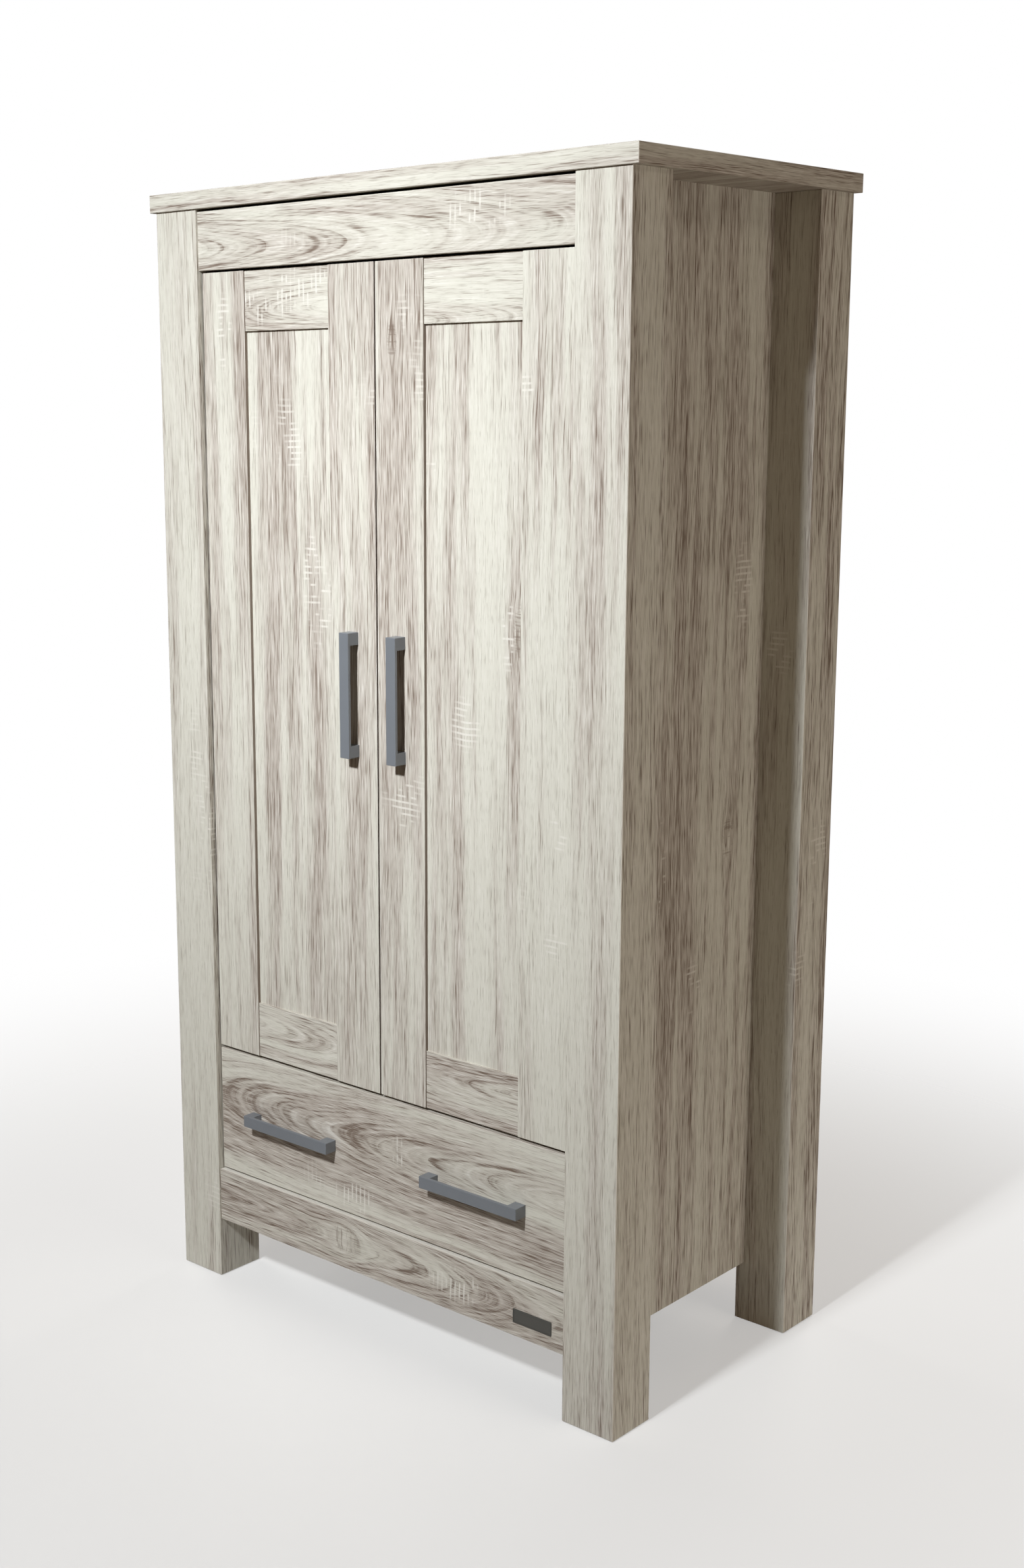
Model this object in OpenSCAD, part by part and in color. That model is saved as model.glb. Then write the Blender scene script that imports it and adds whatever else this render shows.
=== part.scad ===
// Two-door wardrobe: four heavy corner posts under an overhanging top, a pair of
// frame-and-panel doors above one full-width drawer, and slim bar handles.
// +X is to the right of a person facing the doors, -Y is the front and +Z is up.
// The origin is on the floor, under the middle of the overall box.
// Pieces that come in pairs are drawn on the right and mirrored to the left.

/* [Overall] */
// Width over the top panel
overall_w = 1000; // [900:1:1200]
// Depth from the fronts of the handles to the rear edge of the top panel
overall_d = 600; // [570:1:640]
// Height above the floor
overall_h = 1900; // [1800:1:2050]

/* [Top panel] */
// Thickness of the top panel
top_t = 29; // [25:0.5:36]
// Overhang past the posts at each side
top_side_overhang = 12; // [4:0.5:25]
// Overhang past the posts at the front
top_front_overhang = 4; // [0:0.5:12]
// Overhang past the posts at the rear
top_rear_overhang = 6; // [0:0.5:20]

/* [Posts] */
// Width of a post, across the front
post_w = 97; // [85:1:115]
// Depth of a post, front to rear
post_d = 95; // [90:1:110]
// Thickness of the boards that a hollow post is folded from
post_wall = 15; // [14:0.5:18]
// Height of the wooden blocks glued into the ends of each post
post_block_h = 45; // [35:1:60]

/* [Carcass boards] */
// Thickness of the side panels
side_t = 15; // [15:0.5:18]
// Height of the lower edge of the side panels
side_bottom_z = 106; // [100:1:108]
// Thickness of the horizontal rails
rail_t = 18; // [16:0.5:22]
// Height of the lower edge of the bottom rails
rail_bottom_z = 110; // [109:1:125]
// Height of the front and rear bottom rails
bottom_rail_h = 96; // [90:1:105]
// Height of the front top rail
top_rail_h = 94; // [80:1:110]
// Shadow gap between the front top rail and the top panel
top_rail_gap = 4; // [2:0.5:6]
// Set-back of the front top rail from the post fronts
top_rail_recess = 4; // [2:0.5:6]
// Set-back of the bottom rail from the post fronts
bottom_rail_recess = 3.5; // [2:0.5:6]
// Thickness of the shelf and of the cupboard floor
shelf_t = 18; // [16:0.5:22]
// Clear height above the upper shelf
hat_space_h = 282; // [240:1:330]
// Thickness of the back panels
back_t = 3; // [3:0.5:4]

/* [Doors] */
// Set-back of the doors and the drawer front from the post fronts
door_recess = 10.5; // [9:0.5:12]
// Thickness of the door stiles
door_t = 20; // [20:0.5:22]
// Width of the door stiles
stile_w = 98; // [80:1:105]
// Height of the door rails
door_rail_h = 96; // [80:1:110]
// Set-back of the door rails from the stiles
door_rail_recess = 2.2; // [1:0.1:3]
// Set-back of the flat door panel from the stiles
door_panel_recess = 6.4; // [5:0.1:7]
// Thickness of the flat door panel
door_panel_t = 6; // [5:0.5:7]
// Gap between a door or the drawer and the posts
side_gap = 2.5; // [2.5:0.1:4]
// Gap between the two doors
centre_gap = 3; // [2:0.5:5]
// Gap between the doors and the top rail
door_top_gap = 3.5; // [2:0.5:6]
// Gap between the drawer front and the doors
door_drawer_gap = 5.5; // [4:0.5:8]

/* [Drawer] */
// Height of the drawer front
drawer_front_h = 224.5; // [215:0.5:235]
// Thickness of the drawer front
drawer_front_t = 18; // [16:0.5:20]
// Gap between the drawer front and the bottom rail
drawer_bottom_gap = 3.5; // [2:0.5:6]
// Outside length of the drawer box behind its front
drawer_box_l = 450; // [400:10:480]
// Height of the drawer sides
drawer_side_h = 160; // [150:1:170]
// Thickness of the drawer sides and back
drawer_side_t = 14; // [13:0.5:16]
// Thickness of the drawer base
drawer_base_t = 4; // [3:0.5:6]
// Space taken by the runner at each side of the drawer
runner_space = 12.8; // [12.7:0.1:13.5]
// Length of the telescopic runners
runner_l = 440; // [380:10:440]

/* [Handles] */
// Overall length of a handle
handle_l = 202; // [150:1:220]
// Width of the bar and of its feet
handle_w = 20; // [16:1:24]
// Projection of a handle from the face it is screwed to
handle_projection = 24.5; // [22:0.5:32]
// Thickness of the bar
handle_bar_t = 5; // [4:0.5:7]
// Length of each foot along the bar
handle_foot_l = 20; // [14:1:24]
// Height of the middle of the door handles
door_handle_z = 1100; // [900:1:1250]
// Height of the middle of the drawer handles
drawer_handle_z = 322; // [300:1:340]
// Distance of the middle of each drawer handle from the centre line
drawer_handle_x = 206.5; // [150:0.5:260]

/* [Hinges] */
// Diameter of the bore for a hinge cup
cup_d = 35; // [35:35:35]
// Distance from the end of a door to its outer hinges
hinge_inset = 110; // [90:1:140]
// Distance of the hinge pin from the door's outer edge
pin_from_edge = 15; // [15:0.5:16]
// Distance of the hinge pin behind the door's front
pin_from_front = 8; // [7:0.5:8]

/* [Hanging rail] */
// Diameter of the hanging rail
rail_d = 25; // [22:1:30]
// Distance from the upper shelf down to the axis of the hanging rail
rail_drop = 71; // [50:1:90]
// Distance of the hanging rail behind the middle of the depth
rail_y = 12; // [0:1:20]

/* [Badge] */
// Length of the blank badge plate
badge_l = 77; // [60:1:90]
// Height of the badge plate
badge_h = 23.5; // [18:0.5:28]
// Distance of the middle of the badge from the centre line
badge_x = 328; // [300:1:335]
// Height of the middle of the badge
badge_z = 145; // [140:1:160]

/* [Hidden] */

$fn = 64;
LEFT = -1;
RIGHT = 1;
// Overshoot of a cut past the face that it opens
cut = 1;

// Colours
oak_lit = "#d6ccbe";
oak_mid = "#c6b9a8";
oak_inside = "#cfc6b8";
backing = "#d9d3c8";
satin_grey = "#7f8890";
steel = "#b6b9bc";
zinc = "#9a9da0";
pewter = "#55585a";
plastic = "#e8e6e1";
beech = "#d8b98a";

// Carcass planes
carcass_x = overall_w / 2 - top_side_overhang;
inner_x = carcass_x - post_w;
front_y = -overall_d / 2 + handle_projection - door_recess;
rear_y = overall_d / 2 - top_rear_overhang;
side_front_y = front_y + post_d;
side_rear_y = rear_y - post_d;
top_z = overall_h - top_t;

// The back panels slide in grooves in the rear posts, behind the rear rails
groove_depth = 8;
back_y = rear_y - 14;
rear_rail_y = back_y - 1;
shelf_rear_y = back_y - 2;

// Heights, from the floor up
bottom_rail_top = rail_bottom_z + bottom_rail_h;
drawer_z = bottom_rail_top + drawer_bottom_gap;
door_z = drawer_z + drawer_front_h + door_drawer_gap;
top_rail_z = top_z - top_rail_gap - top_rail_h;
door_top = top_rail_z - door_top_gap;
floor_z = door_z - 3.5 - shelf_t;
base_z = bottom_rail_top - 15 - side_t;
shelf_z = top_z - hat_space_h - shelf_t;

// Door planes
door_y = front_y + door_recess;
door_back_y = door_y + door_t;
door_edge_x = inner_x - side_gap;
lock_edge_x = centre_gap / 2;
hinge_stile_x = door_edge_x - stile_w;
lock_stile_x = lock_edge_x + stile_w;
door_panel_y = door_y + door_panel_recess;
panel_tongue = 8;
floor_front_y = door_back_y + 2.5;

// Drawer planes
drawer_back_y = door_y + drawer_front_t;
drawer_box_x = inner_x - runner_space;
drawer_box_z = drawer_z + 16.5;
drawer_end_y = drawer_back_y + drawer_box_l;
drawer_base_z = drawer_box_z + 10;
runner_y = drawer_back_y + 5.5;
runner_z = drawer_box_z + 74;

// Handles
handle_holes = handle_l - handle_foot_l;
handle_screw_r = 2;
handle_x = lock_edge_x + stile_w / 2;

// Concealed hinges, three to a door, all turning on one upright pin line
hinge_zs = [door_z + hinge_inset, (door_z + door_top) / 2, door_top - hinge_inset];
pin_x = door_edge_x - pin_from_edge;
pin_y = door_y + pin_from_front;
pin_r = 1;
knuckle_r = 2.3;
cup_wall = 0.7;
cup_floor_y = pin_y - 2.6;
cup_x = pin_x - 8;
ear_t = 1;
ear_half_h = 30;
cup_screw_dz = 25;
cup_screw_r = 1.6;
cup_screw_l = 10;
arm_w = 12;
arm_t = 2;
// The door's rear outer corner sweeps this far from the pin, and the arm goes round it
swing_r = norm([pin_from_edge, door_t - pin_from_front]) + 0.5;
plate_t = 3;
plate_y = pin_y + swing_r;
plate_l = 48;
plate_screw_y = plate_y + 25;
plate_screw_dz = 16;

// Foot glides
glide_h = 1.5;
glide_r = 13;

// Knock-down fittings: a cam in one board pulls on a bolt that is screwed into the other
cam_r = 7.5;
cam_depth = 12.5;
cam_offset = 34;
bolt_r = 3.5;
bolt_in = 11;
dowel_r = 4;
dowel_in = 12;
dowel_out = 18;
fit = 0.1;

// Each fitting is [place on the joint face, rotation, thickness of the board with the cam].
// Its local +X runs into that board and its local +Z leaves the face that the cam opens on.
opens_rear = [90, 0, 180];
opens_front = [-90, 0, 180];
opens_down = [180, 0, 180];
joins_front_post = [-90, 0, 90];
joins_rear_post = [90, 0, -90];
joins_top = [180, 90, 0];
rail_step = 24;
top_rail_mid = [inner_x, front_y + top_rail_recess + rail_t / 2, top_rail_z + top_rail_h / 2];
bottom_rail_mid = [
    inner_x, front_y + bottom_rail_recess + rail_t / 2, rail_bottom_z + bottom_rail_h / 2
];
rear_rail_h = 96;
rear_top_mid = [inner_x, rear_rail_y - rail_t / 2, top_z - rear_rail_h / 2];
rear_bottom_mid = [inner_x, rear_rail_y - rail_t / 2, rail_bottom_z + bottom_rail_h / 2];
side_x = inner_x + side_t / 2;
side_zs = [base_z + 60, overall_h / 2 + 40, top_z - 150];
board_front_y = side_front_y - 24;
board_rear_y = side_rear_y + 24;

top_rail_cams = [[top_rail_mid + [0, 0, rail_step], opens_rear, rail_t]];
bottom_rail_cams = [[bottom_rail_mid + [0, 0, rail_step], opens_rear, rail_t]];
rear_top_cams = [[rear_top_mid + [0, 0, rail_step], opens_front, rail_t]];
rear_bottom_cams = [[rear_bottom_mid + [0, 0, -rail_step], opens_front, rail_t]];
side_front_cams = [for (z = side_zs) [[side_x, side_front_y, z], joins_front_post, side_t]];
side_rear_cams = [for (z = side_zs) [[side_x, side_rear_y, z], joins_rear_post, side_t]];
side_top_cams = [for (y = [-110, 120]) [[side_x, y, top_z], joins_top, side_t]];
floor_front_cams = [[[inner_x, board_front_y, floor_z + shelf_t / 2], opens_down, shelf_t]];
floor_rear_cams = [[[inner_x, board_rear_y, floor_z + shelf_t / 2], opens_down, shelf_t]];
base_front_cams = [[[inner_x, board_front_y, base_z + side_t / 2], opens_down, side_t]];
base_rear_cams = [[[inner_x, board_rear_y, base_z + side_t / 2], opens_down, side_t]];
front_post_cams = concat(
    top_rail_cams, bottom_rail_cams, side_front_cams, floor_front_cams, base_front_cams
);
rear_post_cams = concat(
    rear_top_cams, rear_bottom_cams, side_rear_cams, floor_rear_cams, base_rear_cams
);

top_rail_dowels = [[top_rail_mid - [0, 0, rail_step], opens_rear]];
bottom_rail_dowels = [[bottom_rail_mid - [0, 0, rail_step], opens_rear]];
rear_top_dowels = [[rear_top_mid - [0, 0, rail_step], opens_front]];
rear_bottom_dowels = [[rear_bottom_mid + [0, 0, rail_step], opens_front]];
side_front_dowels = [for (z = side_zs) [[side_x, side_front_y, z - 60], joins_front_post]];
side_rear_dowels = [for (z = side_zs) [[side_x, side_rear_y, z - 60], joins_rear_post]];
floor_dowels = [
    for (y = [board_front_y - 25, board_rear_y + 25]) [[inner_x, y, floor_z + shelf_t / 2], opens_down]
];
base_dowels = [
    for (y = [board_front_y - 25, board_rear_y + 25]) [[inner_x, y, base_z + side_t / 2], opens_down]
];
block_dowels = [
    for (y = [front_y, side_rear_y])
        [[inner_x + post_w / 2, y + post_d / 2, top_z], joins_top]
];

// Screws: 4 mm runner and socket screws, and 5 mm hinge plate screws
screw_r = 2;
screw_l = 12;
head_r = 3.6;
outer_screw_ys = [runner_y + 14, side_front_y + 40, 60, 160];
inner_screw_ys = [runner_y + 30, -30, runner_y + runner_l - 30];
socket_z = shelf_z - rail_drop;
socket_screw_r = 19;
socket_angles = [90, 210, 330];
flange_t = 3;
plate_screw_r = 2.5;
plate_screw_l = 10;

// Shelf pins
pin_peg_r = 2.5;
shelf_pin_ys = [-150, 150];

// ---- Shared shapes ----

module box_between(low, high) {
    translate(low) cube(high - low);
}

module on_side(side) {
    if (side == RIGHT) children();
    else mirror([1, 0, 0]) children();
}

// A cylinder that runs along +X from the given point
module rod_x(from, length, r) {
    translate(from) rotate([0, 90, 0]) cylinder(h = length, r = r);
}

// A cylinder that runs along +Y from the given point
module rod_y(from, length, r) {
    translate(from) rotate([-90, 0, 0]) cylinder(h = length, r = r);
}

module placed(fitting) {
    translate(fitting[0]) rotate(fitting[1]) children();
}

module cam_cuts(cams) {
    for (c = cams) placed(c) {
        rod_x([-bolt_in - fit, 0, 0], cam_offset + bolt_in, bolt_r + fit);
        translate([cam_offset, 0, c[2] / 2 - cam_depth - fit])
            cylinder(h = cam_depth + cut, r = cam_r + fit);
    }
}

module dowel_cuts(dowels) {
    for (d = dowels) placed(d)
        rod_x([-dowel_in - fit, 0, 0], dowel_in + dowel_out + 2 * fit, dowel_r + fit / 2);
}

module hinge_plate_cuts() {
    for (z = hinge_zs, dz = [-plate_screw_dz, plate_screw_dz])
        rod_x([inner_x - cut, plate_screw_y, z + dz], plate_screw_l + cut + fit, plate_screw_r + fit / 2);
}

module outer_screw_cuts() {
    for (y = outer_screw_ys)
        rod_x([inner_x - cut, y, runner_z], screw_l + cut + fit, screw_r + fit / 2);
}

// Puts its children on the axis of each socket screw, at the given x
module at_socket_screws(x) {
    for (a = socket_angles)
        translate([x, rail_y + socket_screw_r * cos(a), socket_z + socket_screw_r * sin(a)])
            children();
}

// ---- Carcass ----

module top_panel() {
    color(oak_lit) difference() {
        box_between(
            [-overall_w / 2, front_y - top_front_overhang, top_z],
            [overall_w / 2, overall_d / 2, overall_h]
        );
        for (side = [LEFT, RIGHT]) on_side(side) {
            cam_cuts(side_top_cams);
            dowel_cuts(block_dowels);
        }
    }
}

module hollow_post(y) {
    difference() {
        box_between([inner_x, y, glide_h], [carcass_x, y + post_d, top_z]);
        box_between(
            [inner_x + post_wall, y + post_wall, glide_h - cut],
            [carcass_x - post_wall, y + post_d - post_wall, top_z + cut]
        );
    }
}

module front_post(side) {
    color(oak_lit) on_side(side) difference() {
        hollow_post(front_y);
        cam_cuts(front_post_cams);
        dowel_cuts(concat(
            top_rail_dowels, bottom_rail_dowels, side_front_dowels, [floor_dowels[0], base_dowels[0]]
        ));
        hinge_plate_cuts();
        outer_screw_cuts();
    }
}

module rear_post(side) {
    color(oak_mid) on_side(side) difference() {
        hollow_post(side_rear_y);
        cam_cuts(rear_post_cams);
        dowel_cuts(concat(
            rear_top_dowels, rear_bottom_dowels, side_rear_dowels, [floor_dowels[1], base_dowels[1]]
        ));
        box_between(
            [inner_x - cut, back_y, side_bottom_z], [inner_x + groove_depth, back_y + back_t, top_z + cut]
        );
    }
}

module post_end_blocks() {
    color(beech) for (side = [LEFT, RIGHT], y = [front_y, side_rear_y]) on_side(side) {
        difference() {
            box_between(
                [inner_x + post_wall, y + post_wall, glide_h],
                [carcass_x - post_wall, y + post_d - post_wall, glide_h + post_block_h]
            );
            glide_at(y, fit / 2);
        }
        difference() {
            box_between(
                [inner_x + post_wall, y + post_wall, top_z - post_block_h],
                [carcass_x - post_wall, y + post_d - post_wall, top_z]
            );
            dowel_cuts(block_dowels);
        }
    }
}

// One foot glide on the right: a disc with a stem, grown by the clearance
module glide_at(y, clearance) {
    translate([inner_x + post_w / 2, y + post_d / 2, 0]) {
        cylinder(h = glide_h, r = glide_r);
        cylinder(h = glide_h + 12 + clearance, r = 4 + clearance);
    }
}

module foot_glides() {
    color(plastic) for (side = [LEFT, RIGHT], y = [front_y, side_rear_y])
        on_side(side) glide_at(y, 0);
}

// A board that spans the carcass between the posts
module cross_board(y0, y1, z0, z1, cams, dowels) {
    difference() {
        box_between([-inner_x, y0, z0], [inner_x, y1, z1]);
        for (side = [LEFT, RIGHT]) on_side(side) {
            cam_cuts(cams);
            dowel_cuts(dowels);
        }
    }
}

module top_rail() {
    color(oak_lit) cross_board(
        front_y + top_rail_recess, front_y + top_rail_recess + rail_t,
        top_rail_z, top_rail_z + top_rail_h, top_rail_cams, top_rail_dowels
    );
}

module bottom_rail() {
    color(oak_lit) cross_board(
        front_y + bottom_rail_recess, front_y + bottom_rail_recess + rail_t,
        rail_bottom_z, bottom_rail_top, bottom_rail_cams, bottom_rail_dowels
    );
}

module rear_top_rail() {
    color(oak_inside) cross_board(
        rear_rail_y - rail_t, rear_rail_y, top_z - rear_rail_h, top_z, rear_top_cams, rear_top_dowels
    );
}

module rear_bottom_rail() {
    color(oak_inside) cross_board(
        rear_rail_y - rail_t, rear_rail_y, rail_bottom_z, bottom_rail_top,
        rear_bottom_cams, rear_bottom_dowels
    );
}

module cupboard_floor() {
    color(oak_inside) cross_board(
        floor_front_y, shelf_rear_y, floor_z, floor_z + shelf_t,
        concat(floor_front_cams, floor_rear_cams), floor_dowels
    );
}

module bottom_panel() {
    color(oak_inside) cross_board(
        front_y + bottom_rail_recess + rail_t, rear_rail_y - rail_t, base_z, base_z + side_t,
        concat(base_front_cams, base_rear_cams), base_dowels
    );
}

module side_panel(side) {
    color(oak_mid) on_side(side) difference() {
        box_between([inner_x, side_front_y, side_bottom_z], [inner_x + side_t, side_rear_y, top_z]);
        cam_cuts(concat(side_front_cams, side_rear_cams, side_top_cams));
        dowel_cuts(concat(side_front_dowels, side_rear_dowels));
        outer_screw_cuts();
        at_socket_screws(inner_x - cut) rod_x([0, 0, 0], screw_l + cut + fit, screw_r + fit / 2);
        for (y = shelf_pin_ys)
            rod_x([inner_x - cut, y, shelf_z - pin_peg_r], 9 + cut, pin_peg_r + fit / 2);
    }
}

module upper_shelf() {
    color(oak_inside) box_between(
        [-inner_x + 0.5, floor_front_y + 12, shelf_z], [inner_x - 0.5, shelf_rear_y, shelf_z + shelf_t]
    );
}

module shelf_pins() {
    color(steel) for (side = [LEFT, RIGHT], y = shelf_pin_ys) on_side(side) {
        rod_x([inner_x - 9, y, shelf_z - pin_peg_r], 17, pin_peg_r);
        rod_x([inner_x - 1.2, y, shelf_z - pin_peg_r - 2], 1.2, 4);
    }
}

module back_panel(side) {
    color(backing) on_side(side)
        box_between([0.8, back_y, side_bottom_z], [inner_x + groove_depth - 0.5, back_y + back_t, top_z]);
}

// H-section strip that joins the two back panels
module back_joining_strip() {
    strip_w = 9;
    color(plastic) {
        box_between([-0.7, back_y - 1, side_bottom_z], [0.7, back_y + back_t + 1, top_z]);
        for (y = [back_y - 1, back_y + back_t])
            box_between([-strip_w, y, side_bottom_z], [strip_w, y + 1, top_z]);
    }
}

module badge_plate() {
    plate_d = 1.5;
    border = 2;
    plate_y0 = front_y + bottom_rail_recess - plate_d;
    color(pewter) difference() {
        box_between(
            [badge_x - badge_l / 2, plate_y0, badge_z - badge_h / 2],
            [badge_x + badge_l / 2, plate_y0 + plate_d, badge_z + badge_h / 2]
        );
        // Sunk field inside a raised border
        box_between(
            [badge_x - badge_l / 2 + border, plate_y0 - cut, badge_z - badge_h / 2 + border],
            [badge_x + badge_l / 2 - border, plate_y0 + 0.4, badge_z + badge_h / 2 - border]
        );
    }
}

module door_bumpers() {
    for (side = [LEFT, RIGHT]) on_side(side)
        color(plastic) rod_y([40, door_back_y + 0.4, floor_z + shelf_t / 2], 2.1, 5);
}

// ---- Hanging rail ----

module hanging_rail() {
    color(steel) difference() {
        rod_x([-inner_x + 3, rail_y, socket_z], 2 * inner_x - 6, rail_d / 2);
        rod_x([-inner_x, rail_y, socket_z], 2 * inner_x, rail_d / 2 - 1.2);
    }
}

module rail_sockets() {
    color(steel) for (side = [LEFT, RIGHT]) on_side(side) difference() {
        union() {
            rod_x([inner_x - flange_t, rail_y, socket_z], flange_t, 26);
            rod_x([inner_x - 15, rail_y, socket_z], 13, rail_d / 2 + 2.5);
        }
        rod_x([inner_x - 16, rail_y, socket_z], 13, rail_d / 2 + fit);
        at_socket_screws(inner_x - flange_t - cut)
            rod_x([0, 0, 0], flange_t + 2 * cut, screw_r + fit);
    }
}

// ---- Fasteners ----

module cam_fittings() {
    cams = concat(front_post_cams, rear_post_cams, side_top_cams);
    color(zinc) for (side = [LEFT, RIGHT]) on_side(side) for (c = cams) placed(c) {
        rod_x([-bolt_in, 0, 0], bolt_in + cam_offset - cam_r - 0.3, bolt_r);
        translate([cam_offset, 0, c[2] / 2 - cam_depth]) difference() {
            cylinder(h = cam_depth, r = cam_r);
            // Cross slot for the screwdriver
            for (a = [0, 90]) rotate(a)
                translate([-4.5, -0.9, cam_depth - 2]) cube([9, 1.8, 2 + cut]);
        }
    }
}

module carcass_dowels() {
    dowels = concat(
        top_rail_dowels, bottom_rail_dowels, rear_top_dowels, rear_bottom_dowels,
        side_front_dowels, side_rear_dowels, floor_dowels, base_dowels, block_dowels
    );
    color(beech) for (side = [LEFT, RIGHT]) on_side(side) for (d = dowels) placed(d)
        rod_x([-dowel_in, 0, 0], dowel_in + dowel_out, dowel_r);
}

// A flat-headed screw that is driven towards +X from the face at the given point
module side_screw(at, length, r, head_t) {
    rod_x(at, length, r);
    rod_x(at - [head_t, 0, 0], head_t, head_r);
}

module carcass_screws() {
    color(steel) for (side = [LEFT, RIGHT]) on_side(side) {
        for (y = outer_screw_ys)
            side_screw([inner_x - 1.2, y, runner_z], screw_l + 1.2, screw_r, 0.6);
        at_socket_screws(inner_x - flange_t)
            side_screw([0, 0, 0], screw_l + flange_t, screw_r, 1.5);
        for (z = hinge_zs, dz = [-plate_screw_dz, plate_screw_dz])
            side_screw(
                [inner_x - plate_t, plate_screw_y, z + dz],
                plate_screw_l + plate_t, plate_screw_r, 1.5
            );
    }
}

// ---- Hinges ----

// The arm starts at the pin inside the cup, goes round the sweep of the door's rear
// corner and comes back to the plate on the post
module hinge_arm(z) {
    reach = swing_r + arm_t;
    back = plate_y + arm_t;
    translate([0, 0, z - arm_w / 2]) difference() {
        union() {
            translate([pin_x, pin_y, 0]) cylinder(h = arm_w, r = knuckle_r);
            box_between(
                [pin_x - reach, pin_y - arm_t / 2, 0],
                [pin_x - knuckle_r / 2, pin_y + arm_t / 2, arm_w]
            );
            box_between([pin_x - reach, pin_y - arm_t / 2, 0], [pin_x - swing_r, back, arm_w]);
            box_between([pin_x - reach, plate_y, 0], [inner_x - plate_t, back, arm_w]);
            box_between(
                [inner_x - plate_t - 3, plate_y, 0],
                [inner_x - plate_t, plate_y + plate_l - 6, arm_w]
            );
        }
        translate([pin_x, pin_y, -cut]) cylinder(h = arm_w + 2 * cut, r = pin_r + 0.05);
    }
}

module hinge_arms() {
    color(steel) for (side = [LEFT, RIGHT]) on_side(side) for (z = hinge_zs) hinge_arm(z);
}

// Cross-shaped mounting plate with one screw above and one below the arm
module hinge_plates() {
    wing_l = 13;
    wing_h = 25;
    color(zinc) for (side = [LEFT, RIGHT]) on_side(side) difference() {
        for (z = hinge_zs) {
            box_between([inner_x - plate_t, plate_y, z - 8], [inner_x, plate_y + plate_l, z + 8]);
            box_between(
                [inner_x - plate_t, plate_screw_y - wing_l / 2, z - wing_h],
                [inner_x, plate_screw_y + wing_l / 2, z + wing_h]
            );
        }
        hinge_plate_cuts_through();
    }
}

module hinge_plate_cuts_through() {
    for (z = hinge_zs, dz = [-plate_screw_dz, plate_screw_dz])
        rod_x([inner_x - plate_t - cut, plate_screw_y, z + dz], plate_t + 2 * cut, plate_screw_r + fit);
}

// Cup pressed into the stile, with two ears inside that hold the pin
module hinge_cup(z) {
    outer_r = cup_d / 2 - fit;
    inner_r = outer_r - cup_wall;
    ear_z = arm_w / 2 + 0.3;
    difference() {
        union() {
            rod_y([cup_x, cup_floor_y - cup_wall, z], door_back_y - cup_floor_y + cup_wall, outer_r);
            rod_y([cup_x, door_back_y, z], ear_t, outer_r + 2);
            box_between(
                [cup_x - 7, door_back_y, z - ear_half_h],
                [cup_x + 7, door_back_y + ear_t, z + ear_half_h]
            );
        }
        rod_y([cup_x, cup_floor_y, z], 30, inner_r);
        for (dz = [-cup_screw_dz, cup_screw_dz])
            rod_y([cup_x, door_back_y - cut, z + dz], ear_t + 2 * cut, cup_screw_r + fit);
    }
    for (s = [LEFT, RIGHT]) difference() {
        box_between(
            [pin_x - 3, cup_floor_y - fit, z + s * ear_z + (s < 0 ? -2.5 : 0)],
            [pin_x + 3, pin_y + 3, z + s * ear_z + (s < 0 ? 0 : 2.5)]
        );
        translate([pin_x, pin_y, z - 20]) cylinder(h = 40, r = pin_r + 0.03);
    }
}

module hinge_cups(side) {
    color(steel) on_side(side) for (z = hinge_zs) hinge_cup(z);
}

module hinge_pins(side) {
    pin_l = arm_w + 5.6;
    color(zinc) on_side(side) for (z = hinge_zs)
        translate([pin_x, pin_y, z - pin_l / 2]) cylinder(h = pin_l, r = pin_r);
}

// ---- Doors ----

module panel_groove() {
    box_between(
        [lock_stile_x - panel_tongue, door_panel_y, door_z + door_rail_h - panel_tongue],
        [hinge_stile_x + panel_tongue, door_panel_y + door_panel_t, door_top - door_rail_h + panel_tongue]
    );
}

module hinge_stile(side) {
    pocket_y = cup_floor_y - cup_wall - fit;
    color(oak_lit) on_side(side) difference() {
        box_between([hinge_stile_x, door_y, door_z], [door_edge_x, door_back_y, door_top]);
        panel_groove();
        for (z = hinge_zs) {
            rod_y([cup_x, pocket_y, z], door_back_y - pocket_y + cut, cup_d / 2);
            for (dz = [-cup_screw_dz, cup_screw_dz])
                rod_y(
                    [cup_x, door_back_y - cup_screw_l - fit, z + dz],
                    cup_screw_l + fit + cut, cup_screw_r + fit / 2
                );
        }
    }
}

module lock_stile(side) {
    color(oak_lit) on_side(side) difference() {
        box_between([lock_edge_x, door_y, door_z], [lock_stile_x, door_back_y, door_top]);
        panel_groove();
        for (s = [LEFT, RIGHT])
            rod_y(
                [handle_x, door_y - cut, door_handle_z + s * handle_holes / 2],
                door_t + 2 * cut, handle_screw_r + 0.25
            );
    }
}

module door_rail(side, z) {
    color(oak_lit) on_side(side) difference() {
        box_between(
            [lock_stile_x, door_y + door_rail_recess, z],
            [hinge_stile_x, door_back_y, z + door_rail_h]
        );
        panel_groove();
    }
}

module door_panel(side) {
    color(oak_lit) on_side(side) panel_groove();
}

// ---- Handles ----

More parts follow.
